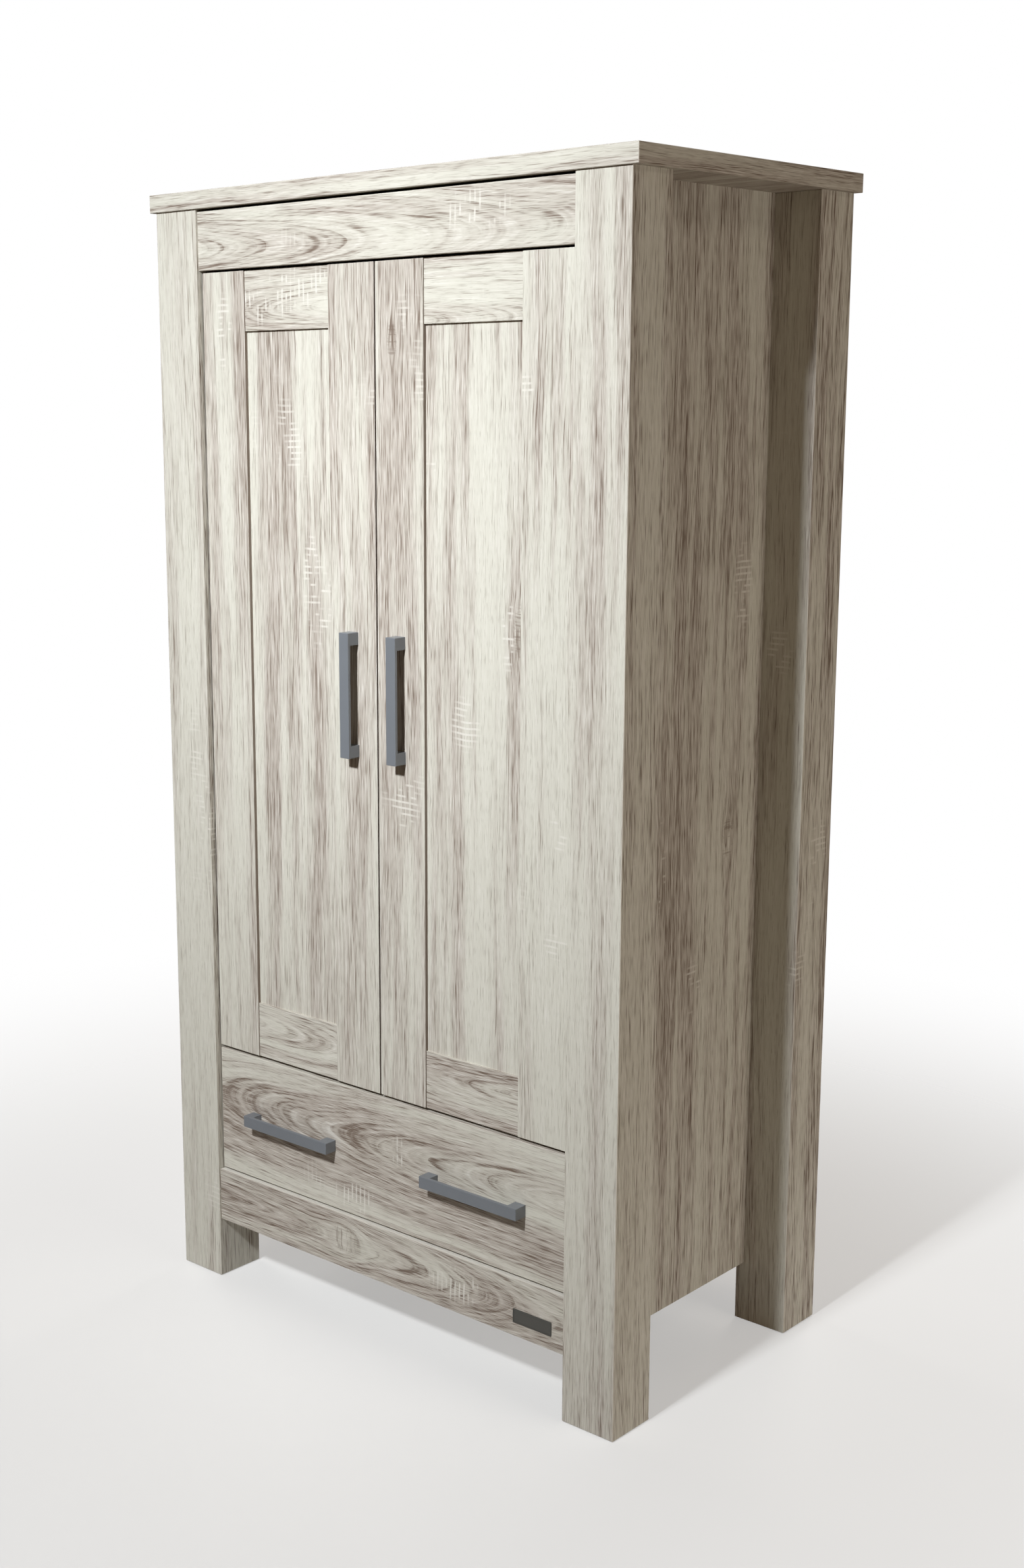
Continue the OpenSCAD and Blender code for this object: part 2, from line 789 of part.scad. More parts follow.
// Bar handle lying along +X, centred, with its back on the plane y = 0
module bar_handle() {
    color(satin_grey) difference() {
        union() {
            box_between(
                [-handle_l / 2, -handle_projection, -handle_w / 2],
                [handle_l / 2, handle_bar_t - handle_projection, handle_w / 2]
            );
            for (mid = [-handle_holes / 2, handle_holes / 2])
                box_between(
                    [mid - handle_foot_l / 2, -handle_projection, -handle_w / 2],
                    [mid + handle_foot_l / 2, 0, handle_w / 2]
                );
        }
        for (s = [LEFT, RIGHT]) rod_y([s * handle_holes / 2, -13, 0], 13 + cut, handle_screw_r + 0.05);
    }
}

module door_handle(side) {
    on_side(side) translate([handle_x, door_y, door_handle_z]) rotate([0, 90, 0]) bar_handle();
}

module drawer_handle(side) {
    on_side(side) translate([drawer_handle_x, door_y, drawer_handle_z]) bar_handle();
}

// A machine screw that is driven towards -Y, through a board of the given thickness
module handle_screw(x, z, board_t) {
    rod_y([x, door_y - 12, z], board_t + 12, handle_screw_r);
    difference() {
        rod_y([x, door_y + board_t, z], 2.4, 4);
        for (a = [0, 90]) translate([x, door_y + board_t + 1.4, z]) rotate([0, a, 0])
            translate([-2.4, 0, -0.5]) cube([4.8, 1 + cut, 1]);
    }
}

module door_screws(side) {
    color(steel) on_side(side) {
        for (s = [LEFT, RIGHT]) handle_screw(handle_x, door_handle_z + s * handle_holes / 2, door_t);
        for (z = hinge_zs, dz = [-cup_screw_dz, cup_screw_dz]) {
            rod_y([cup_x, door_back_y - cup_screw_l, z + dz], cup_screw_l + ear_t, cup_screw_r);
            rod_y([cup_x, door_back_y + ear_t, z + dz], 1, 3);
        }
    }
}

// ---- Drawer ----

drawer_screw_xs = [
    for (side = [LEFT, RIGHT], s = [LEFT, RIGHT]) side * drawer_handle_x + s * handle_holes / 2
];

module drawer_base_slot(clearance) {
    box_between(
        [-drawer_box_x + drawer_side_t - 6, drawer_back_y - 5, drawer_base_z - clearance],
        [drawer_box_x - drawer_side_t + 6, drawer_end_y, drawer_base_z + drawer_base_t + clearance]
    );
}

module drawer_front() {
    color(oak_lit) difference() {
        box_between(
            [-door_edge_x, door_y, drawer_z],
            [door_edge_x, drawer_back_y, drawer_z + drawer_front_h]
        );
        drawer_base_slot(fit);
        for (x = drawer_screw_xs)
            rod_y([x, door_y - cut, drawer_handle_z], drawer_front_t + 2 * cut, handle_screw_r + 0.25);
    }
}

module drawer_side(side) {
    color(oak_inside) on_side(side) difference() {
        box_between(
            [drawer_box_x - drawer_side_t, drawer_back_y, drawer_box_z],
            [drawer_box_x, drawer_end_y, drawer_box_z + drawer_side_h]
        );
        drawer_base_slot(fit);
        for (y = inner_screw_ys)
            rod_x([drawer_box_x - 10, y, runner_z], 10 + cut, screw_r + fit / 2);
    }
}

module drawer_back() {
    color(oak_inside) box_between(
        [-drawer_box_x + drawer_side_t, drawer_end_y - drawer_side_t, drawer_base_z + drawer_base_t],
        [drawer_box_x - drawer_side_t, drawer_end_y, drawer_box_z + drawer_side_h - 12]
    );
}

module drawer_base() {
    color(backing) drawer_base_slot(0);
}

module drawer_screws() {
    color(steel) {
        for (x = drawer_screw_xs) handle_screw(x, drawer_handle_z, drawer_front_t);
        for (side = [LEFT, RIGHT]) on_side(side) for (y = inner_screw_ys) {
            rod_x([drawer_box_x - 9.9, y, runner_z], 11.1, screw_r);
            rod_x([drawer_box_x + 1.2, y, runner_z], 0.6, head_r);
        }
    }
}

// ---- Telescopic runners ----

// A channel along the drawer on the right side, its web and flanges 1.2 mm thick.
// near and far are distances from the carcass wall; the web is at the wall end
// when web_at_wall is true.
module channel(near, far, half_h, web_at_wall) {
    sheet = 1.2;
    web = web_at_wall ? [near, near + sheet] : [far - sheet, far];
    y1 = runner_y + runner_l;
    difference() {
        union() {
            box_between(
                [inner_x - web[1], runner_y, runner_z - half_h], [inner_x - web[0], y1, runner_z + half_h]
            );
            for (z = [-half_h, half_h - sheet])
                box_between(
                    [inner_x - far, runner_y, runner_z + z], [inner_x - near, y1, runner_z + z + sheet]
                );
        }
        children();
    }
}

module outer_runners() {
    color(zinc) for (side = [LEFT, RIGHT]) on_side(side)
        channel(0, 10, 22.8, true)
            for (y = outer_screw_ys) rod_x([inner_x - 2, y, runner_z], 3, screw_r + fit);
}

module middle_runner(side) {
    color(zinc) on_side(side) channel(2.2, 11, 17.5, true);
}

module inner_runners() {
    color(zinc) for (side = [LEFT, RIGHT]) on_side(side)
        channel(4.5, runner_space, 12.3, false)
            for (y = inner_screw_ys) rod_x([drawer_box_x - cut, y, runner_z], 3, screw_r + fit);
}

top_panel();
front_post(LEFT);  // front_left_post
front_post(RIGHT);  // front_right_post
rear_post(LEFT);  // rear_left_post
rear_post(RIGHT);  // rear_right_post
top_rail();
bottom_rail();
rear_top_rail();
rear_bottom_rail();
side_panel(LEFT);  // left_side_panel
side_panel(RIGHT);  // right_side_panel
cupboard_floor();
bottom_panel();
upper_shelf();
back_panel(LEFT);  // left_back_panel
back_panel(RIGHT);  // right_back_panel
back_joining_strip();
hanging_rail();
rail_sockets();
badge_plate();
post_end_blocks();
foot_glides();
shelf_pins();
door_bumpers();
outer_runners();
cam_fittings();
carcass_dowels();
carcass_screws();
hinge_arms();
hinge_plates();
middle_runner(LEFT);  // left_middle_runner
middle_runner(RIGHT);  // right_middle_runner
hinge_stile(LEFT);  // left_hinge_stile
lock_stile(LEFT);  // left_lock_stile
door_rail(LEFT, door_top - door_rail_h);  // left_door_top_rail
door_rail(LEFT, door_z);  // left_door_bottom_rail
door_panel(LEFT);  // left_door_panel
door_handle(LEFT);  // left_door_handle
door_screws(LEFT);  // left_door_screws
hinge_cups(LEFT);  // left_hinge_cups
hinge_pins(LEFT);  // left_hinge_pins
hinge_stile(RIGHT);  // right_hinge_stile
lock_stile(RIGHT);  // right_lock_stile
door_rail(RIGHT, door_top - door_rail_h);  // right_door_top_rail
door_rail(RIGHT, door_z);  // right_door_bottom_rail
door_panel(RIGHT);  // right_door_panel
door_handle(RIGHT);  // right_door_handle
door_screws(RIGHT);  // right_door_screws
hinge_cups(RIGHT);  // right_hinge_cups
hinge_pins(RIGHT);  // right_hinge_pins
drawer_front();
drawer_side(LEFT);  // drawer_left_side
drawer_side(RIGHT);  // drawer_right_side
drawer_back();
drawer_base();
drawer_handle(LEFT);  // drawer_left_handle
drawer_handle(RIGHT);  // drawer_right_handle
inner_runners();
drawer_screws();
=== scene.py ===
import math

import bpy
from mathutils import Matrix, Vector


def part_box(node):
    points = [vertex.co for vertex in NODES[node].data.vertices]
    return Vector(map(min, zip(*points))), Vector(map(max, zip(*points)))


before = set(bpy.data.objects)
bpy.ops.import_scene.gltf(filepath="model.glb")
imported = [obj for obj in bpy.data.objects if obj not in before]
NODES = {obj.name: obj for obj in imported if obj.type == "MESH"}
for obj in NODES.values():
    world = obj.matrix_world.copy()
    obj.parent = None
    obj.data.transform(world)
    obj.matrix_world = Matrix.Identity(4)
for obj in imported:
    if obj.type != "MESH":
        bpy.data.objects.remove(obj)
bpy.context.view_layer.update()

SCENE = bpy.context.scene


# ---------------------------------------------------------------- colours

def tone(red, green, blue):
    """A display colour, 0 to 255 a channel, as the linear colour that shaders take."""
    def linear(value):
        value /= 255
        if value <= 0.04045:
            return value / 12.92
        return ((value + 0.055) / 1.055) ** 2.4
    return (linear(red), linear(green), linear(blue), 1.0)


# ---------------------------------------------------------------- node helpers

class Graph:
    """Adds shader nodes to a tree. Each method but node and feed gives back an output socket."""

    def __init__(self, tree):
        self.tree = tree

    def node(self, kind, inputs=(), **settings):
        made = self.tree.nodes.new(kind)
        for key, value in settings.items():
            setattr(made, key, value)
        for key, value in dict(inputs).items():
            self.feed(made.inputs[key], value)
        return made

    def feed(self, socket, value):
        if isinstance(value, bpy.types.NodeSocket):
            self.tree.links.new(value, socket)
        else:
            socket.default_value = value

    def math(self, operation, *values, clamp=False):
        made = self.tree.nodes.new("ShaderNodeMath")
        made.operation = operation
        made.use_clamp = clamp
        for socket, value in zip(made.inputs, values):
            self.feed(socket, value)
        return made.outputs[0]

    def add(self, *values):
        total = values[0]
        for value in values[1:]:
            total = self.math("ADD", total, value)
        return total

    def times(self, *values):
        total = values[0]
        for value in values[1:]:
            total = self.math("MULTIPLY", total, value)
        return total

    def step(self, value, low, high, to_low=0.0, to_high=1.0):
        """A smooth step of value from low to high."""
        made = self.node(
            "ShaderNodeMapRange", interpolation_type="SMOOTHSTEP", clamp=True,
            inputs={
                "Value": value, "From Min": low, "From Max": high,
                "To Min": to_low, "To Max": to_high,
            },
        )
        return made.outputs[0]

    def vector(self, x, y, z=0.0):
        return self.node("ShaderNodeCombineXYZ", {"X": x, "Y": y, "Z": z}).outputs[0]

    def noise(self, x, y, z=0.0, detail=2.0, distortion=0.0):
        """Noise, 0 to 1, at coordinates that are already scaled."""
        made = self.node("ShaderNodeTexNoise", {
            "Vector": self.vector(x, y, z), "Scale": 1.0, "Detail": detail,
            "Distortion": distortion,
        })
        return made.outputs["Fac"]

    def speckle(self, place, scale, detail):
        """Even noise, 0 to 1, with scale cells to the metre."""
        made = self.node(
            "ShaderNodeTexNoise", {"Vector": place, "Scale": scale, "Detail": detail}
        )
        return made.outputs["Fac"]

    def mix(self, share, first, second, blend="MIX"):
        """Mixes two colours. Sockets 6, 7 and 2 are the Mix node's colour ones."""
        made = self.tree.nodes.new("ShaderNodeMix")
        made.data_type = "RGBA"
        made.blend_type = blend
        self.feed(made.inputs[0], share)
        self.feed(made.inputs[6], first)
        self.feed(made.inputs[7], second)
        return made.outputs[2]

    def ramp(self, share, stops):
        """A colour ramp with stops of (place, colour)."""
        made = self.tree.nodes.new("ShaderNodeValToRGB")
        elements = made.color_ramp.elements
        while len(elements) < len(stops):
            elements.new(0.5)
        for element, (place, colour) in zip(elements, stops):
            element.position = place
            element.color = colour
        self.feed(made.inputs[0], share)
        return made.outputs[0]


def new_material(name):
    """An empty material: its graph and its Principled shader."""
    material = bpy.data.materials.new(name)
    material.use_nodes = True
    material.node_tree.nodes.clear()
    graph = Graph(material.node_tree)
    shader = graph.node("ShaderNodeBsdfPrincipled")
    output = graph.node("ShaderNodeOutputMaterial")
    material.node_tree.links.new(shader.outputs[0], output.inputs["Surface"])
    return material, graph, shader


def bump(graph, shader, height, distance, strength):
    made = graph.node(
        "ShaderNodeBump", {"Height": height, "Distance": distance, "Strength": strength}
    )
    graph.feed(shader.inputs["Normal"], made.outputs[0])


# ---------------------------------------------------------------- washed oak foil

CREAM = tone(210, 208, 196)
TAUPE = tone(186, 178, 168)
BROWN = tone(118, 103, 91)
# Saw-mark cream is also a painted highlight on the bottom rail's top ledge
SAW_AND_HIGHLIGHT_CREAM = tone(228, 225, 217)
# Edge cream: the rounded edges' foil, paler where it is stretched round them, with a painted
# highlight on top
EDGE_FOIL_AND_HIGHLIGHT_CREAM = tone(206, 201, 191)
# Edge brown: painted shade on the stiles' narrow faces, in the door gaps and the panel recesses
EDGE_PAINTED_SHADE_BROWN = tone(112, 94, 80)

RING_SPACING = 0.0085    # metres from one dark growth ring to the next
SAW_SPACING = 0.0095     # metres from one saw mark to the next
NO_CORNER = 0.00002      # square metres that keep the rings round at the heart
END_FACE = 0.75          # a face is an end when its normal is this much along the grain


def foil_place(graph, wide, thin, along):
    """Flat coordinates of a wrapped board, in metres: across the grain and along it. The foil
    goes round the long edges, and the end faces have their grain across the end."""
    place = graph.node("ShaderNodeTexCoord")
    at = graph.node("ShaderNodeSeparateXYZ", {"Vector": place.outputs["Object"]}).outputs
    facing = graph.node("ShaderNodeSeparateXYZ", {"Vector": place.outputs["Normal"]}).outputs
    is_end = graph.math("GREATER_THAN", graph.math("ABSOLUTE", facing[along]), END_FACE)
    side = graph.math("SUBTRACT", 1.0, is_end)
    across = graph.add(
        graph.times(side, graph.add(at[wide], at[thin])),
        graph.times(is_end, graph.add(at[along], at[thin])),
    )
    length = graph.add(graph.times(side, at[along]), graph.times(is_end, at[wide]))
    return across, length, facing


def rounded_edge(graph, facing):
    """1 on the rounded edges of a board, where its face points along no axis."""
    sizes = [graph.math("ABSOLUTE", value) for value in facing]
    largest = graph.math("MAXIMUM", graph.math("MAXIMUM", sizes[0], sizes[1]), sizes[2])
    return graph.step(largest, 0.995, 0.90)


def from_spot(graph, across, length, spot):
    """How far across a place is from a spot's middle, and its squared distance, in radii."""
    (u, v), (radius_u, radius_v) = spot
    x = graph.math("DIVIDE", graph.math("SUBTRACT", across, u), radius_u)
    y = graph.math("DIVIDE", graph.math("SUBTRACT", length, v), radius_v)
    return x, graph.add(graph.times(x, x), graph.times(y, y))


def blob(graph, across, length, spot):
    """A soft spot that is 1 in its middle and 0 outside its ellipse."""
    _, squared = from_spot(graph, across, length, spot)
    return graph.step(squared, 1.0, 0.2)


def push_aside(graph, across, length, spot):
    """The across coordinate with the grain bent round a knot."""
    x, squared = from_spot(graph, across, length, spot)
    radius_u = spot[1][0]
    fall = graph.math("EXPONENT", graph.times(-0.5, squared))
    push = graph.times(graph.math("TANH", graph.times(x, 1.6)), fall, radius_u * 0.8)
    return graph.math("SUBTRACT", across, push)


def saw_marks(graph, across, length, seed, spots):
    """Pale marks across the grain: rows of short lines, in the given spots and a few others."""
    sway = graph.noise(graph.times(across, 9.0), graph.times(length, 3.0), seed + 7.1)
    row = graph.add(graph.times(length, 1 / SAW_SPACING), graph.times(sway, 1.6))
    line = graph.step(
        graph.math("ABSOLUTE", graph.math("SUBTRACT", graph.math("FRACT", row), 0.5)), 0.24, 0.10
    )
    reach = graph.noise(
        graph.times(across, 34.0), graph.times(graph.math("FLOOR", row), 0.37), seed + 8.3, 1.0
    )
    cluster = graph.step(
        graph.noise(graph.times(across, 8.0), graph.times(length, 3.6), seed + 9.1, 1.0), 0.66, 0.76
    )
    for spot in spots:
        cluster = graph.math("MAXIMUM", cluster, blob(graph, across, length, spot))
    return graph.times(line, graph.step(reach, 0.46, 0.56), cluster)


def oak_material(
    name, axes, seed, pith, marks=(), knots=(),
    rings=0.6, contrast=1.0, tint=0.0, crisp=1.0, edge_crisp=0.0, edge_shade_and_highlight=0.0, edge=EDGE_PAINTED_SHADE_BROWN,
):
    """Washed-oak foil with its grain along the board. pith is the place, across and along,
    where the growth rings close into a flame, and how fast they open from there. marks and
    knots are the spots of saw marks and knots. rings sets how dark the rings are, contrast how
    far bands go from cream to taupe, tint how much taupe there is, and crisp how strong the
    streaks are. On the faces that look along the board's width, such as a stile's narrow
    ones, edge_crisp is added to crisp and the edge colour is mixed in by the edge share: painted
    shade on the stiles' narrow faces in the door gaps and panel recesses, and a painted
    highlight on the bottom rail's top ledge."""
    material, graph, shader = new_material(name)
    wide, thin, along = ("xyz".index(a) for a in axes)
    across, length, facing = foil_place(graph, wide, thin, along)
    bent = across
    for spot in knots:
        bent = push_aside(graph, bent, length, spot)

    # Distance from the heart of the tree: straight grain far away, flames close to it
    (pith_u, pith_v), taper = pith
    wander = graph.noise(graph.times(length, 1.1), graph.times(bent, 2.5), seed, 2.0)
    ripple = graph.noise(graph.times(length, 9.0), graph.times(bent, 14.0), seed + 1.7, 2.0)
    sideways = graph.add(
        bent, -pith_u,
        graph.times(graph.add(wander, -0.5), 0.040), graph.times(graph.add(ripple, -0.5), 0.007),
    )
    deep = graph.add(
        graph.times(graph.add(length, -pith_v), taper),
        graph.times(graph.add(graph.noise(graph.times(length, 2.3), seed + 2.9), -0.5), 0.02),
    )
    heart = graph.math(
        "SQRT", graph.add(graph.times(sideways, sideways), graph.times(deep, deep), NO_CORNER)
    )

    def layer(scale, stretch, offset):
        """Noise about 0 with scale streaks to the metre across and stretch along the grain."""
        value = graph.noise(
            graph.times(heart, scale), graph.times(length, stretch),
            graph.add(graph.times(sideways, 9.0), seed + offset),
        )
        return graph.add(value, -0.5)

    band = layer(19.0, 0.9, 3.1)
    broad = layer(62.0, 2.2, 4.3)
    middle = layer(230.0, 8.0, 5.9)
    fine = layer(620.0, 13.0, 6.1)
    line = graph.step(layer(350.0, 4.0, 7.9), 0.01, 0.13)
    hair = graph.noise(graph.times(across, 1000.0), graph.times(length, 30.0), seed + 6.7, 1.0)
    hair = graph.add(hair, -0.5)

    # Each ring darkens slowly and ends sharply, and shows only close to the heart
    ring = graph.add(graph.times(heart, 1 / RING_SPACING), graph.times(broad, 2.0))
    ring = graph.math("POWER", graph.math("FRACT", ring), 3.0)
    zone = graph.step(graph.math("ABSOLUTE", sideways), 0.075, 0.010, 0.12, 1.0)
    ring = graph.times(ring, zone, rings)

    # Broad bands go from cream to taupe, and the taupe ones carry more of the dark streaks
    warm = graph.step(graph.add(
        0.45 + tint, graph.times(band, 2.6 * contrast), graph.times(broad, 1.7 * contrast),
        graph.times(middle, 0.5),
    ), 0.0, 1.0)
    colour = graph.mix(warm, CREAM, TAUPE)
    streak = graph.add(
        graph.times(band, 0.4 * contrast), graph.times(broad, 0.4 * contrast),
        graph.times(middle, 0.3), graph.times(fine, 2.0), graph.times(hair, 2.1),
        graph.times(line, 0.28), graph.times(ring, 0.36), -0.07 + tint * 0.2,
    )
    on_edge = graph.step(graph.math("ABSOLUTE", facing[wide]), 0.97, 0.99)
    strength = graph.add(crisp, graph.times(on_edge, edge_crisp))
    streak = graph.times(streak, graph.add(0.65, graph.times(warm, 0.6)), strength)
    colour = graph.mix(graph.step(streak, 0.0, 0.95), colour, BROWN)
    colour = graph.mix(graph.step(streak, 0.0, -0.8, 0.0, 0.7), colour, SAW_AND_HIGHLIGHT_CREAM)

    # Knots: dark curls in the spot that the grain bends round
    for spot in knots:
        curl = graph.noise(
            graph.times(sideways, 60.0), graph.times(length, 150.0), seed + 3.3, distortion=2.2
        )
        curl = graph.times(blob(graph, across, length, spot), graph.step(curl, 0.50, 0.60))
        colour = graph.mix(graph.times(curl, 0.55), colour, BROWN)

    # Open pores: short dark dashes along the grain
    pore = graph.noise(graph.times(across, 1150.0), graph.times(length, 48.0), seed + 7.7, 1.0)
    pore = graph.step(pore, 0.60, 0.72)
    colour = graph.mix(graph.times(pore, 0.30), colour, BROWN)

    # Saw marks, broken up by the finest streaks, then the edges: the rounded edges get paler foil
    # with a painted highlight, and the narrow faces get painted shade on the stiles and a painted
    # highlight on the bottom rail
    saw = graph.times(
        saw_marks(graph, across, length, seed, marks), graph.step(fine, -0.22, 0.10, 0.45, 1.0)
    )
    colour = graph.mix(graph.times(saw, 0.75), colour, SAW_AND_HIGHLIGHT_CREAM)
    colour = graph.mix(graph.times(rounded_edge(graph, facing), 0.45), colour, EDGE_FOIL_AND_HIGHLIGHT_CREAM)
    # The faces that look along the board's width take the edge colour: painted shade on the stiles'
    # narrow faces in the door gaps and panel recesses, and a painted highlight on the bottom rail's
    # top ledge
    colour = graph.mix(graph.times(on_edge, edge_shade_and_highlight), colour, edge)

    graph.feed(shader.inputs["Base Color"], colour)
    graph.feed(shader.inputs["Roughness"], graph.step(fine, -0.3, 0.3, 0.62, 0.50))
    shader.inputs["Specular IOR Level"].default_value = 0.32
    height = graph.add(
        graph.times(fine, 0.7), graph.times(hair, 0.5),
        graph.times(pore, -0.8), graph.times(saw, 0.2),
    )
    bump(graph, shader, height, 0.00025, 0.55)
    return material


# ---------------------------------------------------------------- other materials

def metal_material(name, colour, metallic, roughness, speckle=0.04):
    """Cast or rolled metal with a fine even texture under its finish. A fine and a coarse
    noise each make its colour lighter or darker by up to the speckle."""
    material, graph, shader = new_material(name)
    place = graph.node("ShaderNodeTexCoord").outputs["Object"]
    grain = graph.speckle(place, 2600.0, 2.0)
    cloud = graph.speckle(place, 45.0, 3.0)
    shade = graph.add(
        1.0, graph.times(graph.math("SUBTRACT", grain, 0.5), speckle * 2),
        graph.times(graph.math("SUBTRACT", cloud, 0.5), speckle * 2),
    )
    graph.feed(shader.inputs["Base Color"], graph.mix(1.0, colour, shade, "MULTIPLY"))
    shader.inputs["Metallic"].default_value = metallic
    rough = graph.step(grain, 0.3, 0.7, roughness - 0.05, roughness + 0.07)
    graph.feed(shader.inputs["Roughness"], rough)
    bump(graph, shader, grain, 0.00002, 0.6)
    return material


def plastic_material(name, colour, roughness):
    """Moulded plastic with a fine matt texture."""
    material, graph, shader = new_material(name)
    place = graph.node("ShaderNodeTexCoord").outputs["Object"]
    grain = graph.speckle(place, 1800.0, 2.0)
    shade = graph.step(grain, 0.3, 0.7, 0.94, 1.0)
    graph.feed(shader.inputs["Base Color"], graph.mix(1.0, colour, shade, "MULTIPLY"))
    rough = graph.step(grain, 0.3, 0.7, roughness - 0.05, roughness + 0.08)
    graph.feed(shader.inputs["Roughness"], rough)
    bump(graph, shader, grain, 0.00003, 0.5)
    return material


# ---------------------------------------------------------------- boards

def on_board(node, axes, place):
    """A place given as fractions of a board, across and along, in its foil coordinates. The
    face that counts is the shown one: the front, the right or the top."""
    low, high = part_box(node)
    wide, thin, along = ("xyz".index(a) for a in axes)
    face = low[thin] if thin == 1 else high[thin]
    u = low[wide] + (high[wide] - low[wide]) * place[0]
    v = low[along] + (high[along] - low[along]) * place[1]
    return (u + face, v)


def spots(node, axes, places):
    """Spots from (across, along, radius across, radius along). The place is given as
    fractions of the board and the radii in metres."""
    return [(on_board(node, axes, place), place[2:]) for place in places]


# Axes of a board: across its wide face, through its thickness and along its grain. The first
# two face the front, FLAT faces up, and the last two face the side
UPRIGHT, SIDEWAYS, FLAT = "xyz", "zyx", "yzx"
SIDE_UPRIGHT, SIDE_LEVEL = "yxz", "zxy"
PALE_INSIDE = dict(tint=-0.1, contrast=0.6)
PALE_BACK = dict(tint=-0.15, contrast=0.5)
BARE_WOOD = dict(tint=0.3, contrast=0.6)

